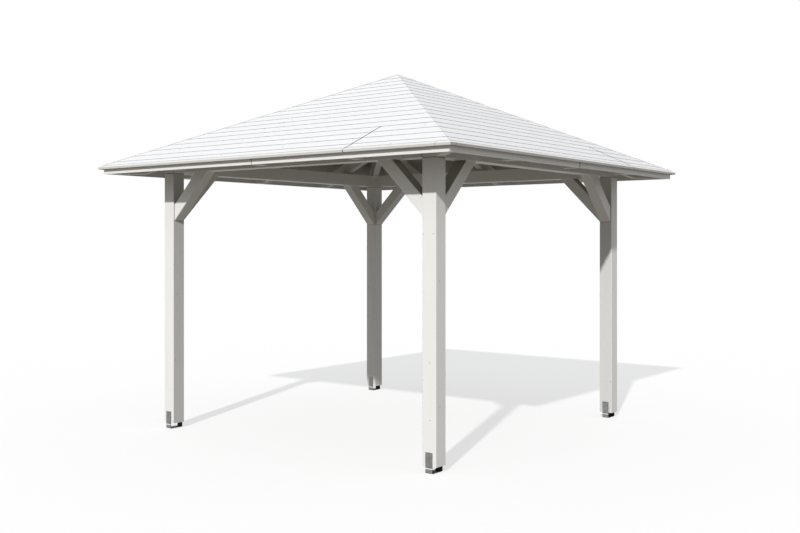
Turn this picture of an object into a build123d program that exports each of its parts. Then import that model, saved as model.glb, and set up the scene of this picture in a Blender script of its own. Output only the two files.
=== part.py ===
from build123d import *
import os
from math import cos, radians, sin, sqrt, tan

# Square garden gazebo: four posts in steel anchors, a ring of beams with knee braces,
# and a boarded pyramid roof on hip, centre and jack rafters.  Millimetres, +Z up,
# ground at Z = 0, centre of the plan at the origin, front towards -Y.

# ---- posts and their anchors
post_span = 2685.0         # centre to centre, both ways
post_size = 115.0
post_length = 2091.0
post_ease = 3.0            # eased long edges
base_gap = 46.0            # ground to the foot of the post
anchor_width = 56.0
anchor_plate = 5.0
anchor_grip = 96.0         # flap height above the foot of the post
anchor_bend = 9.0          # outer radius of the bends
anchor_hole = 14.0         # ground bolt hole

# ---- beams and knee braces
beam_height = 115.0
beam_width = 115.0
beam_ease = 3.0
brace_leg = 400.0          # lower edge of a brace, measured along the post
brace_depth = 95.0
brace_thick = 95.0
brace_ease = 3.0

# ---- roof
roof_pitch = 24.9
board_thick = 20.0         # the roof edge is cut square to the boards
eave_out = 350.0           # outer face of a beam to outer face of the fascia
edge_proud = 39.0          # top corner of the roof edge beyond the fascia
fascia_height = 52.5       # at its outer face
fascia_thick = 20.0
fascia_gap = 1.0           # open joint between two lengths of fascia
rafter_width = 60.0
rafter_depth = 104.0
hip_width = 60.0
hip_depth = 154.0
jack_offset = 918.0        # jack rafter from the middle of its side
notch_depth = 24.5         # rafter cut down over the outer edge of the beam
joint_fit = 0.2            # clearance where a rafter butts against a hip

# ---- derived
half_span = post_span / 2
outer = half_span + beam_width / 2
beam_bottom = base_gap + post_length
beam_top = beam_bottom + beam_height
rise = tan(radians(roof_pitch))
plumb = 1 / cos(radians(roof_pitch))
board_plumb = board_thick * plumb
rafter_plumb = rafter_depth * plumb
hip_fall = rise / sqrt(2)
hip_plumb = hip_depth * sqrt(1 + hip_fall**2)
under_apex = beam_top + rafter_plumb - notch_depth + rise * outer
apex = under_apex + board_plumb
fascia_out = outer + eave_out
fascia_in = fascia_out - fascia_thick
roof_half = fascia_out + edge_proud
fascia_bottom = under_apex - rise * fascia_out - fascia_height
brace_upper = brace_leg - brace_depth * sqrt(2)

SIDES = {"front": 0, "right": 90, "back": 180, "left": 270}
CORNERS = {
    "front_left": (-1, -1),
    "front_right": (1, -1),
    "back_left": (-1, 1),
    "back_right": (1, 1),
}

os.makedirs("parts", exist_ok=True)


def save(node, solid):
    export_step(solid, "parts/" + node + ".step")


def prism_x(points, x_from, x_to):
    """A solid from (y, z) points, running from x_from to x_to."""
    face = Plane.YZ * make_face(Polyline(*points, close=True))
    return Pos(x_from, 0, 0) * extrude(face, amount=x_to - x_from)


def prism_y(points, y_from, y_to):
    """A solid from (x, z) points, running from y_from to y_to."""
    face = Plane.XZ * make_face(Polyline(*points, close=True))
    return Pos(0, y_to, 0) * extrude(face, amount=y_to - y_from)


def wedge(set_back):
    """The quarter of the plan in front of both hip lines, set back from them."""
    reach = 2 * roof_half
    tip = set_back * sqrt(2)
    points = ((0, -tip), (reach, -tip - reach), (-reach, -tip - reach))
    face = make_face(Polyline(*points, close=True))
    return extrude(face, amount=2 * apex)


def beam_block():
    size = 2 * outer
    return Pos(0, 0, beam_top / 2) * Box(size, size, beam_top)


def eased(solid, axis, amount):
    return chamfer(solid.edges().filter_by(axis), amount)


def make_post(corner_x, corner_y):
    body = eased(Box(post_size, post_size, post_length), Axis.Z, post_ease)
    middle = base_gap + post_length / 2
    return Pos(corner_x * half_span, corner_y * half_span, middle) * body


def make_anchor(corner_x, corner_y):
    """A bent steel strap: a base plate with a hole and a flap up each side."""
    inner = post_size / 2
    edge = inner + anchor_plate
    top = base_gap + anchor_grip
    outline = ((-edge, top), (-edge, 0), (edge, 0), (edge, top))
    bed = ((inner, top), (inner, anchor_plate), (-inner, anchor_plate), (-inner, top))
    strap = prism_x(outline + bed, -anchor_width / 2, anchor_width / 2)
    along = strap.edges().filter_by(Axis.X)
    low = along.group_by(Axis.Z)[0]
    strap = fillet(low, anchor_bend)
    along = strap.edges().filter_by(Axis.X)
    inside = [e for e in along if abs(e.center().Z - anchor_plate) < 0.01]
    inside = [e for e in inside if abs(abs(e.center().Y) - inner) < 0.01]
    strap = fillet(inside, anchor_bend - anchor_plate)
    strap -= Cylinder(anchor_hole / 2, 4 * anchor_plate)
    return Pos(corner_x * half_span, corner_y * half_span, 0) * strap


def make_long_beam(side_x):
    """A side beam: runs the whole depth of the plan over two posts."""
    body = eased(Box(beam_width, 2 * outer, beam_height), Axis.Y, beam_ease)
    return Pos(side_x * half_span, 0, beam_bottom + beam_height / 2) * body


def make_cross_beam(side_y):
    """A front or back beam: fits between the two side beams."""
    length = 2 * (half_span - beam_width / 2)
    body = eased(Box(length, beam_width, beam_height), Axis.X, beam_ease)
    return Pos(0, side_y * half_span, beam_bottom + beam_height / 2) * body


def brace_outline():
    return (
        (0, -brace_leg),
        (0, -brace_upper),
        (brace_upper, 0),
        (brace_leg, 0),
    )


def brace_body():
    """A brace with its corner at the origin, reaching towards +X and down."""
    body = prism_y(brace_outline(), -brace_thick / 2, brace_thick / 2)
    slanted = [e for e in body.edges() if abs(e.length - brace_leg * sqrt(2)) < 0.01]
    slanted += [e for e in body.edges() if abs(e.length - brace_upper * sqrt(2)) < 0.01]
    return chamfer(slanted, brace_ease)


def make_brace(corner_x, corner_y, along_x):
    face = half_span - post_size / 2
    if along_x:
        turn = 0 if corner_x < 0 else 180
        place = Pos(corner_x * face, corner_y * half_span, beam_bottom)
    else:
        turn = 90 if corner_y < 0 else 270
        place = Pos(corner_x * half_span, corner_y * face, beam_bottom)
    return place * Rot(0, 0, turn) * brace_body()


def make_slope():
    """The front slope of the roof, mitred along both hips."""
    edge_top = apex - rise * roof_half
    slant = radians(roof_pitch)
    points = (
        (0, apex),
        (-roof_half, edge_top),
        (-roof_half + board_thick * sin(slant), edge_top - board_thick * cos(slant)),
        (0, under_apex),
    )
    return prism_x(points, -roof_half, roof_half) & wedge(0)


def rafter_outline(fall, reach, depth):
    """Rafter in side view: plumb end, its tail cut level with the fascia."""
    low_apex = under_apex - depth
    level_from = (low_apex - fascia_bottom) / fall
    return (
        (0, under_apex),
        (-reach, under_apex - fall * reach),
        (-reach, fascia_bottom),
        (-level_from, fascia_bottom),
        (0, low_apex),
    )


def make_rafter(offset):
    """A rafter square to the front eave, ending at the hips."""
    outline = rafter_outline(rise, fascia_in, rafter_plumb)
    body = prism_x(outline, offset - rafter_width / 2, offset + rafter_width / 2)
    body &= wedge(hip_width / 2 + joint_fit)
    return body - beam_block()


def make_hip():
    """The hip rafter of the front left corner, its top cut to both slopes."""
    outline = rafter_outline(hip_fall, fascia_in * sqrt(2), hip_plumb)
    body = Rot(0, 0, -45) * prism_x(outline, -hip_width / 2, hip_width / 2)
    quarter = Pos(-fascia_in / 2, -fascia_in / 2, apex / 2) * Box(fascia_in, fascia_in, apex)
    body &= quarter
    reach = 2 * roof_half
    above_roof = (
        (0, under_apex),
        (0, 2 * apex),
        (-reach, 2 * apex),
        (-reach, under_apex - rise * reach),
    )
    body -= prism_x(above_roof, -reach, reach)
    body -= prism_y(above_roof, -reach, reach)
    return body - beam_block()


def make_fascia(side_x):
    """Half of the front fascia: mitred at the corner, jointed at the middle."""
    points = (
        (-fascia_in, fascia_bottom),
        (-fascia_out, fascia_bottom),
        (-fascia_out, under_apex - rise * fascia_out),
        (-fascia_in, under_apex - rise * fascia_in),
    )
    low = fascia_gap / 2
    body = prism_x(points, low, fascia_out) & wedge(0)
    if side_x < 0:
        body = body.mirror(Plane.YZ)
    return body


for name, (cx, cy) in CORNERS.items():
    save("post_" + name, make_post(cx, cy))
    save("anchor_" + name, make_anchor(cx, cy))
    save("brace_" + name + "_x", make_brace(cx, cy, True))
    save("brace_" + name + "_y", make_brace(cx, cy, False))

save("beam_left", make_long_beam(-1))
save("beam_right", make_long_beam(1))
save("beam_front", make_cross_beam(-1))
save("beam_back", make_cross_beam(1))

HIP_TURNS = {"front_left": 0, "front_right": 90, "back_right": 180, "back_left": 270}
for name, turn in HIP_TURNS.items():
    save("hip_rafter_" + name, Rot(0, 0, turn) * make_hip())

for name, turn in SIDES.items():
    save("roof_slope_" + name, Rot(0, 0, turn) * make_slope())
    save("centre_rafter_" + name, Rot(0, 0, turn) * make_rafter(0))
    save("jack_rafter_" + name + "_a", Rot(0, 0, turn) * make_rafter(-jack_offset))
    save("jack_rafter_" + name + "_b", Rot(0, 0, turn) * make_rafter(jack_offset))
    save("fascia_" + name + "_a", Rot(0, 0, turn) * make_fascia(-1))
    save("fascia_" + name + "_b", Rot(0, 0, turn) * make_fascia(1))
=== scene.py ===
import bpy
import bmesh
from math import copysign, cos, pi, radians, sin, sqrt, tan
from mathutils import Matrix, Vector


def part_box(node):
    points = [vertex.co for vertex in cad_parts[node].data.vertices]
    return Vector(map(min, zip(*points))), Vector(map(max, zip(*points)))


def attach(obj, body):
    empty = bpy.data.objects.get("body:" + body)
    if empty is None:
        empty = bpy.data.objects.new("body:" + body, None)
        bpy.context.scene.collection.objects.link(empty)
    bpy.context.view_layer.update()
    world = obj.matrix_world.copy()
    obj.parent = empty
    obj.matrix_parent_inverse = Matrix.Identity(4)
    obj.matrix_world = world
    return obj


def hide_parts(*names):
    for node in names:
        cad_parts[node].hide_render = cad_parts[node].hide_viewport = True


# A square garden gazebo.  The frame brings the timbers and the steel anchors; this script
# adds the roof boarding, the ribs and screws of the anchors, and the finishes.

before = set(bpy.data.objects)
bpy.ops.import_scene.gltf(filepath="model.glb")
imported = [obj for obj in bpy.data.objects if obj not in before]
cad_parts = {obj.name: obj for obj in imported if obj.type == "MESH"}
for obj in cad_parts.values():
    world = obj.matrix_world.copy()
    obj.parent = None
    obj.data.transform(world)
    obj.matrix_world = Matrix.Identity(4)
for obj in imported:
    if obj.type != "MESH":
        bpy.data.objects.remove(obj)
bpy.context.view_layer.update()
bpy.ops.object.select_all(action="DESELECT")

# ---- roof boarding, in metres
ROOF_PITCH = radians(24.9)
BOARD_THICK = 0.020
BOARD_ROWS = 17
ROUGH_LENGTH = 2.04        # a board before it is mitred, in halves of the roof
EAVE_COVER = 0.112         # from the roof edge to the second row of boards
LAP_STEP = 0.0020          # each board stands this much above the one higher up
LAP_LEAN = 0.0016          # how far that step leans back under the lip
BOARD_GAP = 0.0026         # open joint between two boards, partly under the lip
TONGUE = 0.006             # its thickness, and how far it stands out
TONGUE_PLAY = 0.0003
UNDER_CHAMFER = 0.0015
HIP_GAP = 0.0008           # each slope stops this short of its joint at a hip
HIP_PROUD = 0.0085         # the back and left boards stand this much above their neighbours
SEAM_ROWS = 4              # rows from the eave made of two lengths
SEAM_PLACE = 0.904         # the joint between those lengths, from the middle of the slope
SEAM_GAPS = {"front": 0.0110, "right": 0.0200, "back": 0.0110, "left": 0.0200}

# ---- board along the roof edge, in metres
EDGE_COVER = 0.040         # what it shows below the first row
EDGE_DROP = 0.0016         # its top lies this much below the plane of the slope
EDGE_EASE = 0.0008
EDGE_JOINTS = ((-1.7265, 0.0025), (SEAM_PLACE, 0.0060), (1.662, 0.0025))   # place, opening

# ---- anchors, in metres
STEEL_THICK = 0.005
RIB_HEIGHT = 0.0070
RIB_PROUD = 0.0030
RIB_LEVEL = 0.033          # middle of the rib above the ground
RIB_ROUNDING = 0.9         # how much of its stand is rounded
RIB_SMOOTH = radians(40)
SCREW_RADIUS = 0.0065
SCREW_PROUD = 0.0032
SCREW_LEVELS = (0.052, 0.112)
SCREW_RIM = 0.30           # width of the sloping rim, in radii
SCREW_DOME = 0.35          # how far the crown stands above the rim, in heights
SOCKET_RIM = 0.32          # from the rim to the socket, in radii
SOCKET_DEPTH = 0.8         # in heights
SCREW_FACETS = 24
SCREW_SMOOTH = radians(50)

# ---- how nearly a face has to look in a direction, as a cosine
STRAIGHT = 0.9
SLANTING = 0.6
MOSTLY = 0.5
SAME_PLACE = 1e-5          # metres

CORNERS = {
    "front_left": (-1, -1),
    "front_right": (1, -1),
    "back_left": (-1, 1),
    "back_right": (1, 1),
}
SIDES = {"front": 0, "right": 90, "back": 180, "left": 270}


# ------------------------------------------------------------------ modelling helpers
def hold(piece):
    """Makes a piece the active one, and the only one selected."""
    bpy.ops.object.select_all(action="DESELECT")
    bpy.context.view_layer.objects.active = piece
    piece.select_set(True)


def edit(piece):
    """Opens a piece in edit mode with nothing selected."""
    hold(piece)
    bpy.ops.object.mode_set(mode="EDIT")
    bpy.ops.mesh.select_all(action="DESELECT")


def done():
    bpy.ops.object.mode_set(mode="OBJECT")


def pick_faces(piece, wanted):
    """Selects the faces whose centre and normal pass the test."""
    bpy.ops.mesh.select_mode(type="FACE")
    mesh = bmesh.from_edit_mesh(piece.data)
    for face in mesh.faces:
        face.select_set(bool(wanted(face.calc_center_median(), face.normal)))
    mesh.select_flush_mode()
    bmesh.update_edit_mesh(piece.data)


def pick_edges(piece, wanted):
    """Selects the edges whose two ends both pass the test."""
    bpy.ops.mesh.select_mode(type="EDGE")
    mesh = bmesh.from_edit_mesh(piece.data)
    for edge in mesh.edges:
        edge.select_set(all(wanted(v.co) for v in edge.verts))
    mesh.select_flush_mode()
    bmesh.update_edit_mesh(piece.data)


def deselect_across(piece):
    """Leaves only the edges that run along X selected."""
    mesh = bmesh.from_edit_mesh(piece.data)
    for edge in mesh.edges:
        along = edge.verts[1].co - edge.verts[0].co
        if edge.select and abs(along.x) < MOSTLY * along.length:
            edge.select_set(False)
    bmesh.update_edit_mesh(piece.data)


def near(value, target):
    return abs(value - target) < SAME_PLACE


def cut(place, facing):
    """Cuts off everything beyond a plane, on the side it faces, and closes the cut."""
    bpy.ops.mesh.select_all(action="SELECT")
    bpy.ops.mesh.bisect(plane_co=place, plane_no=facing, use_fill=True, clear_outer=True)
    bpy.ops.mesh.select_all(action="DESELECT")


def settle(piece):
    """Puts a piece's place and turn into its mesh."""
    hold(piece)
    bpy.ops.object.transform_apply(location=True, rotation=True, scale=True)


def sawn_block(length, low, high):
    """A block centred on X between two (y, z) corners, opened in edit mode."""
    middle = [(a + b) / 2 for a, b in zip(low, high)]
    size = [b - a for a, b in zip(low, high)]
    bpy.ops.mesh.primitive_cube_add(size=1, location=(0, *middle), scale=(length, *size))
    block = bpy.context.view_layer.objects.active
    settle(block)
    edit(block)
    return block


def named(piece, name):
    piece.name = name
    piece.data.name = name
    return piece


def copy_of(piece, name):
    """A copy with its own mesh."""
    hold(piece)
    bpy.ops.object.duplicate(linked=False)
    return named(bpy.context.view_layer.objects.active, name)


def joined(pieces, name):
    hold(pieces[0])
    for piece in pieces:
        piece.select_set(True)
    bpy.ops.object.join()
    return named(bpy.context.view_layer.objects.active, name)


# ------------------------------------------------------------------ roof boarding
slope_low, slope_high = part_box("roof_slope_front")
roof_half = -slope_low.y
apex = slope_high.z
rise = tan(ROOF_PITCH)
slope_length = roof_half / cos(ROOF_PITCH)
board_cover = (slope_length - EAVE_COVER) / (BOARD_ROWS - 1)
edge_top = apex - rise * roof_half
# the proud boards run this far past the hip line, and their neighbours stop short of it
hip_shift = HIP_PROUD / (rise * sqrt(2))
# how far each slope stops short of its left and its right hip, looking at it from outside
HIP_STOPS = {
    "front": (HIP_GAP + hip_shift, HIP_GAP),
    "right": (HIP_GAP, HIP_GAP + hip_shift),
    "back": (HIP_GAP - hip_shift, HIP_GAP),
    "left": (HIP_GAP, HIP_GAP - hip_shift),
}


def shape_board():
    """One tongued and grooved board, flat, its lower lip along the X axis."""
    width = board_cover + LAP_LEAN - BOARD_GAP
    board = sawn_block(ROUGH_LENGTH * roof_half, (0, -BOARD_THICK), (width, 0))
    # the top falls away towards the upper edge
    pick_edges(board, lambda co: near(co.y, width) and near(co.z, 0))
    bpy.ops.transform.translate(value=(0, 0, -LAP_STEP))
    # below the lip the lower edge stands back by the lean of the step
    bpy.ops.mesh.select_all(action="SELECT")
    bpy.ops.mesh.bisect(plane_co=(0, 0, -LAP_STEP), plane_no=(0, 0, 1))
    pick_edges(board, lambda co: near(co.y, 0) and co.z < -LAP_STEP / 2)
    bpy.ops.transform.translate(value=(0, LAP_LEAN, 0))
    # the groove in the lower edge and the tongue on the upper edge
    inset = (BOARD_THICK - LAP_STEP - TONGUE) / 2
    pick_faces(board, lambda at, facing: facing.y < -STRAIGHT)
    bpy.ops.mesh.inset(thickness=inset - TONGUE_PLAY)
    move = {"value": (0, TONGUE + TONGUE_PLAY, 0)}
    bpy.ops.mesh.extrude_region_move(TRANSFORM_OT_translate=move)
    pick_faces(board, lambda at, facing: facing.y > STRAIGHT and near(at.y, width))
    bpy.ops.mesh.inset(thickness=inset)
    move = {"value": (0, TONGUE, 0)}
    bpy.ops.mesh.extrude_region_move(TRANSFORM_OT_translate=move)
    # a chamfer along both lower arrises
    pick_edges(
        board,
        lambda co: near(co.z, -BOARD_THICK) and (near(co.y, LAP_LEAN) or near(co.y, width)),
    )
    deselect_across(board)
    bpy.ops.mesh.bevel(offset=UNDER_CHAMFER, segments=1, affect="EDGES")
    done()
    return board


def lay_rows(board, first, last):
    """Copies of the board, one above the other, from one row to another."""
    rows = []
    for row in range(first, last):
        copy = copy_of(board, f"row_{row}")
        copy.location.y = EAVE_COVER + (row - 1) * board_cover
        settle(copy)
        rows.append(copy)
    return joined(rows, f"rows_{first}")


def pitched(piece, stops=(HIP_GAP, HIP_GAP)):
    """Raises a flat piece to the front slope, cuts it at both hips and level with the apex."""
    piece.rotation_euler = (ROOF_PITCH, 0, 0)
    piece.location = (0, -roof_half, edge_top)
    settle(piece)
    left_stop, right_stop = stops
    edit(piece)
    cut((0, -right_stop * sqrt(2), 0), (1, 1, 0))
    cut((0, -left_stop * sqrt(2), 0), (-1, 1, 0))
    cut((0, 0, apex), (0, 0, 1))
    done()
    return piece


def parted(piece, place, gap):
    """Saws a flat piece in two, leaving an open joint."""
    twin = copy_of(piece, "right_part")
    edit(piece)
    cut((place - gap / 2, 0, 0), (1, 0, 0))
    done()
    edit(twin)
    cut((place + gap / 2, 0, 0), (-1, 0, 0))
    done()
    return piece, twin


def shape_slope_boards(side):
    """A slope, made at the front: rows of boards, the lowest rows in two lengths."""
    board = shape_board()
    lower = lay_rows(board, 0, SEAM_ROWS)
    upper = lay_rows(board, SEAM_ROWS, BOARD_ROWS)
    bpy.data.objects.remove(board)
    # the lowest row ends at the narrow board along the roof edge
    edit(lower)
    cut((0, EDGE_COVER, 0), (0, -1, 0))
    done()
    left, right = parted(lower, SEAM_PLACE, SEAM_GAPS[side])
    return pitched(joined([left, right, upper], "roof_boards_" + side), HIP_STOPS[side])


def shape_front_edge():
    """The narrow board along the front of the roof, in its four lengths."""
    rest = sawn_block(
        ROUGH_LENGTH * roof_half, (0, -BOARD_THICK), (EDGE_COVER - BOARD_GAP, -EDGE_DROP)
    )
    pick_edges(rest, lambda co: near(co.y, 0))
    deselect_across(rest)
    bpy.ops.mesh.bevel(offset=EDGE_EASE, segments=2, affect="EDGES")
    done()
    lengths = []
    for place, gap in EDGE_JOINTS:
        left, rest = parted(rest, place, gap)
        lengths.append(left)
    return pitched(joined(lengths + [rest], "front_edge"))


def turned(piece, side):
    """A piece made at the front, turned to its own side."""
    piece.rotation_euler = (0, 0, radians(SIDES[side]))
    settle(piece)
    return piece


front_edge = shape_front_edge()
roof_boards = {}
roof_edges = {}
for side in SIDES:
    roof_boards[side] = turned(shape_slope_boards(side), side)
    roof_edges[side] = turned(copy_of(front_edge, "roof_edge_" + side), side)
bpy.data.objects.remove(front_edge)


# ------------------------------------------------------------------ anchor ribs and screws
def shape_rib(width):
    """A pressed rib: a bar whose outer long arrises and ends are rounded away."""
    depth = RIB_PROUD + STEEL_THICK / 2
    rib = sawn_block(width, (-depth, -RIB_HEIGHT / 2), (0, RIB_HEIGHT / 2))
    pick_edges(rib, lambda co: near(co.y, -depth))
    bpy.ops.mesh.bevel(offset=RIB_PROUD * RIB_ROUNDING, segments=4, affect="EDGES")
    done()
    bpy.ops.object.shade_smooth_by_angle(angle=RIB_SMOOTH)
    return rib


def shape_screw():
    """A low round screw head with a sloping rim and a round socket, facing the front."""
    bpy.ops.mesh.primitive_cylinder_add(
        vertices=SCREW_FACETS,
        radius=SCREW_RADIUS,
        depth=SCREW_PROUD,
        location=(0, -SCREW_PROUD / 2, 0),
        rotation=(pi / 2, 0, 0),
    )
    screw = bpy.context.view_layer.objects.active
    settle(screw)
    edit(screw)
    pick_faces(screw, lambda at, facing: facing.y < -STRAIGHT)
    bpy.ops.mesh.inset(thickness=SCREW_RADIUS * SCREW_RIM)
    bpy.ops.transform.translate(value=(0, -SCREW_PROUD * SCREW_DOME, 0))
    bpy.ops.mesh.inset(thickness=SCREW_RADIUS * SOCKET_RIM)
    move = {"value": (0, SCREW_PROUD * SOCKET_DEPTH, 0)}
    bpy.ops.mesh.extrude_region_move(TRANSFORM_OT_translate=move)
    done()
    bpy.ops.object.shade_smooth_by_angle(angle=SCREW_SMOOTH)
    return screw


def placed(piece, name, place, turn):
    """A finished copy at its place, turned about the upright axis."""
    copy = copy_of(piece, name)
    copy.rotation_euler = (0, 0, turn)
    copy.location = place
    settle(copy)
    return copy


anchor_low, anchor_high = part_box("anchor_front_left")
rib = shape_rib(anchor_high.x - anchor_low.x)
screw = shape_screw()
anchor_pieces = []
for corner in CORNERS:
    low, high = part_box("anchor_" + corner)
    middle = (low.x + high.x) / 2
    for face, face_y, inward, turn in (("front", low.y, 1, 0), ("back", high.y, -1, pi)):
        where = (middle, face_y + inward * STEEL_THICK / 2, RIB_LEVEL)
        anchor_pieces.append(placed(rib, f"anchor_rib_{corner}_{face}", where, turn))
        for step, level in zip(("low", "high"), SCREW_LEVELS):
            name = f"anchor_screw_{corner}_{face}_{step}"
            anchor_pieces.append(placed(screw, name, (middle, face_y, level), turn))
bpy.data.objects.remove(rib)
bpy.data.objects.remove(screw)


# ------------------------------------------------------------------ finishes
# paints: a colour and the tint that it slowly drifts to
FRAME_PAINT = ((0.830, 0.820, 0.796), (0.805, 0.793, 0.765))
# painted shade: a darker copy of the frame paint for post faces turned in under the roof
POST_FACE_SHADE = ((0.680, 0.672, 0.652), (0.660, 0.650, 0.627))    # on faces turned in under the roof
# painted shade: a dark paint for the upper faces of the braces, in the nooks under the beams
BRACE_TOP_SHADE = ((0.390, 0.370, 0.335), (0.340, 0.320, 0.290))
ROOF_PAINT = ((0.812, 0.820, 0.834), (0.792, 0.800, 0.814))
EDGE_PAINT = ((0.770, 0.765, 0.753), (0.739, 0.733, 0.721))
# painted shade: a dark paint for the undersides of the boards and edge boards, for the shade
# under the roof
UNDERSIDE_SHADE = ((0.330, 0.318, 0.297), (0.304, 0.292, 0.271))
BOARD_END_PAINT = ((0.612, 0.610, 0.604), (0.582, 0.580, 0.574))
# painted shade: a dark paint on the step under each board's lip, for the shadow line there
LAP_SHADE = ((0.30, 0.293, 0.280), (0.250, 0.243, 0.231))
KNOT_BROWN = (0.20, 0.17, 0.14)
JOINT_DARK = (0.050, 0.045, 0.040)
# with JOINT_DARK: near-black bare ends, partly painted shade inside the open joints
END_BROWN = (0.090, 0.082, 0.072)
END_ROUGHNESS = 0.85
GRAIN_SHADE = 0.955             # the grain, as a share of the tint
PAINT_IOR = 1.45
FRAME_SHEEN = (0.44, 0.60)      # roughness, which follows the grain
ROOF_SHEEN = (0.66, 0.78)
FRAME_RELIEF = 0.25
ROOF_RELIEF = 0.05
GRAIN_DEPTH = 0.0006

# sizes of the patterns, in metres: two across the grain and one along it
RING_CELL = (0.007, 0.007, 0.35)
TINT_CELL = (0.09, 0.09, 0.9)
END_CELL = (0.004, 0.004, 0.002)
DUST_CELL = (0.02, 0.02, 0.03)
FRAME_KNOTS = (0.080, 0.0060)   # how far apart, and their radius
ROOF_KNOTS = (0.125, 0.0095)
KNOT_HEART = 0.45               # the darkest part, of the radius
JOINT_WIDTH = 0.0034            # dark line where a timber meets another
FASCIA_JOINT_WIDTH = 0.0028     # at the front and the back
SIDE_FASCIA_JOINT_WIDTH = 0.0055

# steel: its dull and its bright crystals
ANCHOR_ZINC = ((0.215, 0.215, 0.213), (0.300, 0.300, 0.298))
# near-black steel: the sheared edges, and painted shade on the bed and the inner faces of the
# flaps
SHEARED_EDGES_AND_SHADE = ((0.026, 0.026, 0.025), (0.044, 0.043, 0.041))
# painted highlight: near-white zinc on the pressed ribs, for the light they catch
RIB_HIGHLIGHT_ZINC = ((0.86, 0.86, 0.86), (0.94, 0.94, 0.94))
ZINC_CRYSTALS = 110             # to the metre
ZINC_DUST = 0.75                # dusty patches, as a share of the dull crystals
ZINC_SHEEN = (0.36, 0.56)
ZINC_RELIEF = 0.2
ZINC_DEPTH = 0.0003

EVEN_TONE = ((0.35, 0.0), (0.65, 1.0))
GRAIN_TONE = ((0.30, 0.0), (0.52, 0.35), (0.75, 1.0))
DUST_TONE = ((0.40, 0.0), (0.75, 0.8))


def new_finish(name):
    """A new material, its node tree and its shader."""
    material = bpy.data.materials.new(name)
    material.use_nodes = True
    return material, material.node_tree, material.node_tree.nodes["Principled BSDF"]


def own_place(tree):
    """The place on the piece, in metres."""
    return tree.nodes.new("ShaderNodeTexCoord").outputs["Object"]


def toned(tree, source, stops):
    """A source passed through a ramp of (place, grey) stops."""
    node = tree.nodes.new("ShaderNodeValToRGB")
    while len(node.color_ramp.elements) < len(stops):
        node.color_ramp.elements.new(0.5)
    for element, (place, grey) in zip(node.color_ramp.elements, stops):
        element.position = place
        element.color = (grey, grey, grey, 1)
    tree.links.new(source, node.inputs["Fac"])
    return node.outputs["Color"]


def clouded(tree, place, grain, cell, detail, roughness):
    """Noise in cells of a size whose Z side runs with the grain."""
    turn = tree.nodes.new("ShaderNodeMapping")
    turn.vector_type = "TEXTURE"
    turn.inputs["Rotation"].default_value = Vector(grain).to_track_quat("Z", "Y").to_euler()
    turn.inputs["Scale"].default_value = cell
    tree.links.new(place, turn.inputs["Vector"])
    node = tree.nodes.new("ShaderNodeTexNoise")
    node.inputs["Scale"].default_value = 1
    node.inputs["Detail"].default_value = detail
    node.inputs["Roughness"].default_value = roughness
    tree.links.new(turn.outputs["Vector"], node.inputs["Vector"])
    return node.outputs["Fac"]


def mixed(tree, factor, first, second):
    """A colour mix; first and second are colours or sockets."""
    node = tree.nodes.new("ShaderNodeMix")
    node.data_type = "RGBA"
    tree.links.new(factor, node.inputs["Factor"])
    for value, socket in ((first, node.inputs[6]), (second, node.inputs[7])):
        if isinstance(value, tuple):
            socket.default_value = (*value, 1)
        else:
            tree.links.new(value, socket)
    return node.outputs[2]


def joint_line(tree, place, axis, level, width):
    """1 within a width of a level on one axis, on both sides of the middle, and 0 elsewhere."""
    parts = tree.nodes.new("ShaderNodeSeparateXYZ")
    tree.links.new(place, parts.inputs["Vector"])
    either = tree.nodes.new("ShaderNodeMath")
    either.operation = "ABSOLUTE"
    tree.links.new(parts.outputs[axis], either.inputs[0])
    close = tree.nodes.new("ShaderNodeMath")
    close.operation = "COMPARE"
    close.inputs[1].default_value = level
    close.inputs[2].default_value = width
    tree.links.new(either.outputs["Value"], close.inputs[0])
    return close.outputs["Value"]


def surfaced(tree, shader, gloss_from, sheen, relief_from, relief, depth):
    """Roughness that follows one pattern, and fine relief that follows another."""
    gloss = tree.nodes.new("ShaderNodeMapRange")
    gloss.inputs["To Min"].default_value, gloss.inputs["To Max"].default_value = sheen
    tree.links.new(gloss_from, gloss.inputs["Value"])
    tree.links.new(gloss.outputs["Result"], shader.inputs["Roughness"])
    bump = tree.nodes.new("ShaderNodeBump")
    bump.inputs["Strength"].default_value = relief
    bump.inputs["Distance"].default_value = depth
    tree.links.new(relief_from, bump.inputs["Height"])
    tree.links.new(bump.outputs["Normal"], shader.inputs["Normal"])


def painted_timber(
    name, grain, colours, knots=FRAME_KNOTS, sheen=FRAME_SHEEN, relief=FRAME_RELIEF, joint=None
):
    """Paint on planed softwood: faint grain, slow tint, pin knots, a dark line at a joint."""
    paint, tint = colours
    knots_apart, knot_radius = knots
    material, tree, shader = new_finish(name)
    shader.inputs["IOR"].default_value = PAINT_IOR
    place = own_place(tree)
    # a slow change of tint along each length
    drift = clouded(tree, place, grain, TINT_CELL, 2, 0.5)
    finish = mixed(tree, toned(tree, drift, EVEN_TONE), paint, tint)
    # growth rings standing faintly through the paint
    rings = clouded(tree, place, grain, RING_CELL, 5, 0.6)
    darker = tuple(channel * GRAIN_SHADE for channel in tint)
    finish = mixed(tree, toned(tree, rings, GRAIN_TONE), finish, darker)
    # pin knots, soft at the rim
    cells = tree.nodes.new("ShaderNodeTexVoronoi")
    cells.inputs["Scale"].default_value = 1 / knots_apart
    cells.inputs["Randomness"].default_value = 1
    tree.links.new(place, cells.inputs["Vector"])
    radius = knot_radius / knots_apart
    knot_tone = ((radius * KNOT_HEART, 0.75), (radius, 0.0))
    finish = mixed(tree, toned(tree, cells.outputs["Distance"], knot_tone), finish, KNOT_BROWN)
    if joint:
        finish = mixed(tree, joint_line(tree, place, *joint), finish, JOINT_DARK)
    tree.links.new(finish, shader.inputs["Base Color"])
    surfaced(tree, shader, rings, sheen, rings, relief, GRAIN_DEPTH)
    return material


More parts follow.
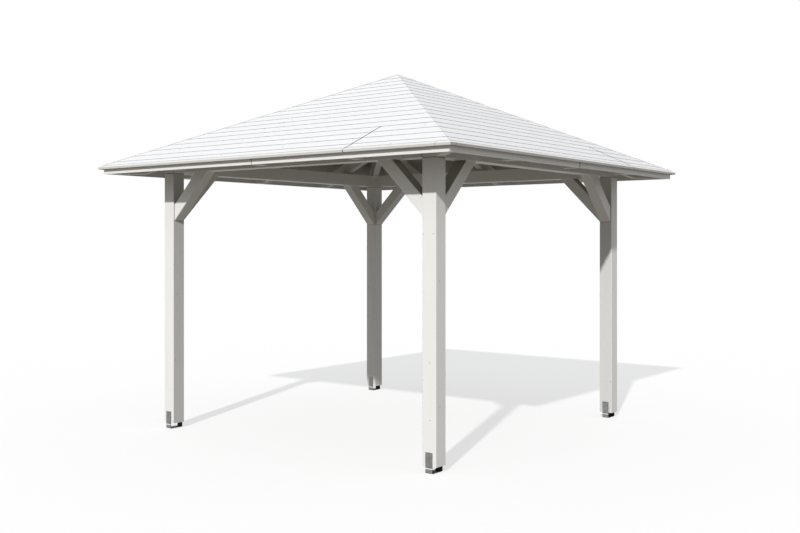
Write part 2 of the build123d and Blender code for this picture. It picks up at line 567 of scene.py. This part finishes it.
def end_grain(name):
    """Bare sawn ends in the open joints, near-black and uneven: partly their own bare grain,
    partly painted shade inside the joints.
    """
    material, tree, shader = new_finish(name)
    shader.inputs["Roughness"].default_value = END_ROUGHNESS
    rings = clouded(tree, own_place(tree), (0, 0, 1), END_CELL, 3, 0.6)
    colour = mixed(tree, toned(tree, rings, EVEN_TONE), JOINT_DARK, END_BROWN)
    tree.links.new(colour, shader.inputs["Base Color"])
    return material


def galvanised_steel(name, zinc, metal=0.8, shine=0.5):
    """Hot dipped zinc: a patchwork of dull and bright crystals, with dust in between."""
    dull, bright = zinc
    material, tree, shader = new_finish(name)
    shader.inputs["Metallic"].default_value = metal
    shader.inputs["Specular IOR Level"].default_value = shine
    place = own_place(tree)
    crystals = tree.nodes.new("ShaderNodeTexVoronoi")
    crystals.inputs["Scale"].default_value = ZINC_CRYSTALS
    tree.links.new(place, crystals.inputs["Vector"])
    spangle = tree.nodes.new("ShaderNodeSeparateColor")
    tree.links.new(crystals.outputs["Color"], spangle.inputs["Color"])
    patches = mixed(tree, spangle.outputs["Red"], dull, bright)
    cloud = clouded(tree, place, (0, 0, 1), DUST_CELL, 3, 0.6)
    dusty = tuple(channel * ZINC_DUST for channel in dull)
    colour = mixed(tree, toned(tree, cloud, DUST_TONE), patches, dusty)
    tree.links.new(colour, shader.inputs["Base Color"])
    surfaced(tree, shader, spangle.outputs["Green"], ZINC_SHEEN, cloud, ZINC_RELIEF, ZINC_DEPTH)
    return material


# where the frame timbers meet
beam_low, beam_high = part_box("beam_front")
post_low, post_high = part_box("post_front_left")
post_top_joint = ("Z", beam_low.z, JOINT_WIDTH)
beam_end_joint = ("X", beam_high.x, JOINT_WIDTH)
brace_joint_x = ("X", -post_high.x, JOINT_WIDTH)
brace_joint_y = ("Y", -post_high.y, JOINT_WIDTH)

paint_z = painted_timber("white_paint_posts", (0, 0, 1), FRAME_PAINT, joint=post_top_joint)
shaded_post_faces = painted_timber("painted_shade_post_faces", (0, 0, 1), POST_FACE_SHADE, joint=post_top_joint)
paint_beams = painted_timber(
    "white_paint_beam_faces", (1, 0, 0), FRAME_PAINT, joint=beam_end_joint
)
paint_x = painted_timber("white_paint_cross_timbers", (1, 0, 0), FRAME_PAINT)
paint_y = painted_timber("white_paint_side_timbers", (0, 1, 0), FRAME_PAINT)
fascia_paint_x = painted_timber(
    "white_paint_cross_fascias", (1, 0, 0), FRAME_PAINT, joint=("X", 0, FASCIA_JOINT_WIDTH)
)
fascia_paint_y = painted_timber(
    "white_paint_side_fascias", (0, 1, 0), FRAME_PAINT, joint=("Y", 0, SIDE_FASCIA_JOINT_WIDTH)
)
# painted shade on the upper faces of the braces
brace_top_shade_paint = painted_timber(
    "painted_shade_on_brace_tops", (0, 0, 1), BRACE_TOP_SHADE, sheen=ROOF_SHEEN
)
steel = galvanised_steel("galvanised_steel", ANCHOR_ZINC)
# the sheared edges of the anchors, and painted shade inside them
sheared_and_shaded_steel = galvanised_steel("sheared_edges_and_painted_shade", SHEARED_EDGES_AND_SHADE, metal=0.0, shine=0.1)
# painted highlight on the ribs of the anchors
rib_highlight_steel = galvanised_steel("painted_highlight_zinc", RIB_HIGHLIGHT_ZINC, metal=0.3)

slanting_paints = {}


def paint_along(grain, joint=None):
    """The frame paint with its grain in a slanting direction, made once for each."""
    key = (*(round(part, 3) for part in grain), joint)
    if key not in slanting_paints:
        name = f"white_paint_slanting_{len(slanting_paints)}"
        slanting_paints[key] = painted_timber(name, grain, FRAME_PAINT, joint=joint)
    return slanting_paints[key]


def finish_node(node, material, other=None, wanted=None):
    """The finish of a frame piece, and another one for the faces that pass a test."""
    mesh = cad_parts[node].data
    mesh.materials.clear()
    mesh.materials.append(material)
    if other:
        mesh.materials.append(other)
        for polygon in mesh.polygons:
            polygon.material_index = int(wanted(polygon.normal, polygon.center))


def faces_up(normal, place):
    return normal.z > MOSTLY


def faces_front(normal, place):
    return normal.y < -STRAIGHT


def faces_back(normal, place):
    return normal.y > STRAIGHT


def faces_right(normal, place):
    return normal.x > STRAIGHT


def is_sheared_or_shaded_inside(normal, place):
    """The sheared edges of an anchor, its bed and the inner faces of its flaps, all in near-black
    steel; on the bed and the flaps it is painted shade.
    """
    middle = copysign((post_low.y + post_high.y) / 2, place.y)
    inside = normal.y * (place.y - middle) < 0
    return abs(normal.x) > MOSTLY or normal.z > MOSTLY or inside


for corner, (cx, cy) in CORNERS.items():
    finish_node("post_" + corner, paint_z)
    finish_node("anchor_" + corner, steel, sheared_and_shaded_steel, is_sheared_or_shaded_inside)
    brace_paint_x = paint_along((-cx, 0, 1), brace_joint_x)
    brace_paint_y = paint_along((0, -cy, 1), brace_joint_y)
    # the upper faces of the braces take the painted shade
    finish_node(f"brace_{corner}_x", brace_paint_x, brace_top_shade_paint, faces_up)
    finish_node(f"brace_{corner}_y", brace_paint_y, brace_top_shade_paint, faces_up)
    finish_node("hip_rafter_" + corner, paint_along((-cx, -cy, rise)))
for side, turn in SIDES.items():
    inward = (-sin(radians(turn)), cos(radians(turn)), rise)
    for kind, mark in (("centre_rafter_", ""), ("jack_rafter_", "_a"), ("jack_rafter_", "_b")):
        finish_node(kind + side + mark, paint_along(inward))
    across = side in ("front", "back")
    for mark in ("_a", "_b"):
        finish_node("fascia_" + side + mark, fascia_paint_x if across else fascia_paint_y)
    finish_node("beam_" + side, paint_x if across else paint_y)
# painted shade: these post faces, turned in under the roof, take the darker paint
finish_node("post_front_left", paint_z, shaded_post_faces, faces_right)
finish_node("post_back_right", paint_z, shaded_post_faces, faces_front)
finish_node("beam_front", paint_x, paint_beams, faces_front)
finish_node("beam_back", paint_x, paint_beams, faces_back)

# bare end grain in the open joints, made near-black as painted shade inside them
ends_in_gap_shade = end_grain("bare_ends_in_painted_gap_shade")
painted_ends = painted_timber(
    "painted_board_ends", (0, 0, 1), BOARD_END_PAINT, ROOF_KNOTS, ROOF_SHEEN
)
# painted shade on the step faces of the laps
lap_shade_paint = painted_timber("painted_shade_laps", (0, 0, 1), LAP_SHADE, ROOF_KNOTS, ROOF_SHEEN)
TOP, FACE, UNDER, BARE_END, PAINTED_END = range(5)


def board_finish(normal, along):
    """Which finish a face of a board has, from where it looks; ends at a hip are painted."""
    lengthways = abs(normal.dot(along))
    if lengthways > STRAIGHT:
        return BARE_END
    if lengthways > SLANTING:
        return PAINTED_END
    if normal.z > SLANTING:
        return TOP
    if normal.z < -SLANTING:
        return UNDER
    return FACE


def finish_boards(piece, side, top, face, under):
    """Finishes the boards of one side, and puts them in the place of its plain slope."""
    turn = radians(SIDES[side])
    along = Vector((cos(turn), sin(turn), 0))
    piece.data.materials.clear()
    for material in (top, face, under, ends_in_gap_shade, painted_ends):
        piece.data.materials.append(material)
    for polygon in piece.data.polygons:
        polygon.material_index = board_finish(polygon.normal, along)
    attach(piece, "root")
    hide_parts("roof_slope_" + side)


for mark, grain, sides, frame_paint in (
    ("x", (1, 0, 0), ("front", "back"), paint_x),
    ("y", (0, 1, 0), ("right", "left"), paint_y),
):
    roof_paint = painted_timber(
        "white_paint_boards_" + mark, grain, ROOF_PAINT, ROOF_KNOTS, ROOF_SHEEN, ROOF_RELIEF
    )
    edge_paint = painted_timber(
        "white_paint_edge_" + mark, grain, EDGE_PAINT, ROOF_KNOTS, ROOF_SHEEN, ROOF_RELIEF
    )
    # painted shade under the boards
    underside_shade_paint = painted_timber(
        "painted_shade_under_boards_" + mark, grain, UNDERSIDE_SHADE, ROOF_KNOTS, ROOF_SHEEN
    )
    for side in sides:
        # the step faces of the boards take the painted shade of the laps
        finish_boards(roof_boards[side], side, roof_paint, lap_shade_paint, underside_shade_paint)
        finish_boards(roof_edges[side], side, edge_paint, frame_paint, underside_shade_paint)
for piece in anchor_pieces:
    piece.data.materials.clear()
    # the ribs take the painted highlight, the screws the plain zinc
    piece.data.materials.append(rib_highlight_steel if "rib" in piece.name else steel)
    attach(piece, "root")

# ------------------------------------------------------------------ floor and light
FLOOR_SIZE = 120
FLOOR_LEVEL = -0.001
FLOOR_THROWN = (0.225, 0.208, 0.182, 1)    # what it throws back onto the timbers
FLOOR_SEEN = (0.40, 0.40, 0.40, 1)         # this part of it takes the shadow
FLOOR_GLOW = 0.62
SKY_TINT = (0.97, 0.985, 1.0, 1)
SKY_STRENGTH = 0.46
KEY_STRENGTH = 2.95
KEY_TINT = (1.0, 0.992, 0.980)
KEY_WIDTH = radians(1.5)
KEY_FROM = Vector((0.299, -0.794, 0.529))


def seen_or_mirrored(tree):
    """1 for what the camera sees, directly or in a gloss, and 0 for light on the object."""
    rays = tree.nodes.new("ShaderNodeLightPath")
    either = tree.nodes.new("ShaderNodeMath")
    either.operation = "MAXIMUM"
    tree.links.new(rays.outputs["Is Camera Ray"], either.inputs[0])
    tree.links.new(rays.outputs["Is Glossy Ray"], either.inputs[1])
    return either.outputs["Value"]


def floor_finish():
    """Pale to the eye with the object's shadow on it, darker in what it throws back."""
    material, tree, ready_shader = new_finish("pale_floor")
    tree.nodes.remove(ready_shader)
    thrown = tree.nodes.new("ShaderNodeBsdfDiffuse")
    thrown.inputs["Color"].default_value = FLOOR_THROWN
    plain = tree.nodes.new("ShaderNodeBsdfDiffuse")
    plain.inputs["Color"].default_value = FLOOR_SEEN
    glow = tree.nodes.new("ShaderNodeEmission")
    glow.inputs["Strength"].default_value = FLOOR_GLOW
    sight = tree.nodes.new("ShaderNodeAddShader")
    tree.links.new(plain.outputs["BSDF"], sight.inputs[0])
    tree.links.new(glow.outputs["Emission"], sight.inputs[1])
    both = tree.nodes.new("ShaderNodeMixShader")
    tree.links.new(seen_or_mirrored(tree), both.inputs["Fac"])
    tree.links.new(thrown.outputs["BSDF"], both.inputs[1])
    tree.links.new(sight.outputs["Shader"], both.inputs[2])
    tree.links.new(both.outputs["Shader"], tree.nodes["Material Output"].inputs["Surface"])
    return material


def studio_sky():
    """A soft, slightly cool sky for the light, plain white where it is seen."""
    world = bpy.data.worlds.new("studio")
    world.use_nodes = True
    tree = world.node_tree
    soft = tree.nodes["Background"]
    soft.inputs["Color"].default_value = SKY_TINT
    soft.inputs["Strength"].default_value = SKY_STRENGTH
    white = tree.nodes.new("ShaderNodeBackground")
    white.inputs["Color"].default_value = (1, 1, 1, 1)
    white.inputs["Strength"].default_value = 1
    both = tree.nodes.new("ShaderNodeMixShader")
    tree.links.new(seen_or_mirrored(tree), both.inputs["Fac"])
    tree.links.new(soft.outputs["Background"], both.inputs[1])
    tree.links.new(white.outputs["Background"], both.inputs[2])
    tree.links.new(both.outputs["Shader"], tree.nodes["World Output"].inputs["Surface"])
    return world


bpy.ops.mesh.primitive_plane_add(size=FLOOR_SIZE, location=(0, 0, FLOOR_LEVEL))
floor = bpy.context.view_layer.objects.active
floor.name = "floor"
settle(floor)
floor.data.materials.append(floor_finish())
bpy.context.scene.world = studio_sky()

bpy.ops.object.light_add(type="SUN", location=(2, -5, 6))
key = bpy.context.view_layer.objects.active
key.name = "key_lamp"
key.data.energy = KEY_STRENGTH
key.data.color = KEY_TINT
key.data.angle = KEY_WIDTH
key.rotation_euler = KEY_FROM.to_track_quat("Z", "Y").to_euler()

# ------------------------------------------------------------------ camera
CAMERA_PLACE = (5.2692, -6.8575, 1.5718)
CAMERA_TURN = radians(37.405)
CAMERA_LENS = 44.83
CAMERA_SHIFT = -0.0322

bpy.ops.object.camera_add(location=CAMERA_PLACE, rotation=(pi / 2, 0, CAMERA_TURN))
camera = bpy.context.view_layer.objects.active
camera.data.sensor_width = 36
camera.data.lens = CAMERA_LENS
camera.data.shift_y = CAMERA_SHIFT
bpy.context.scene.camera = camera
bpy.context.scene.view_settings.view_transform = "Standard"
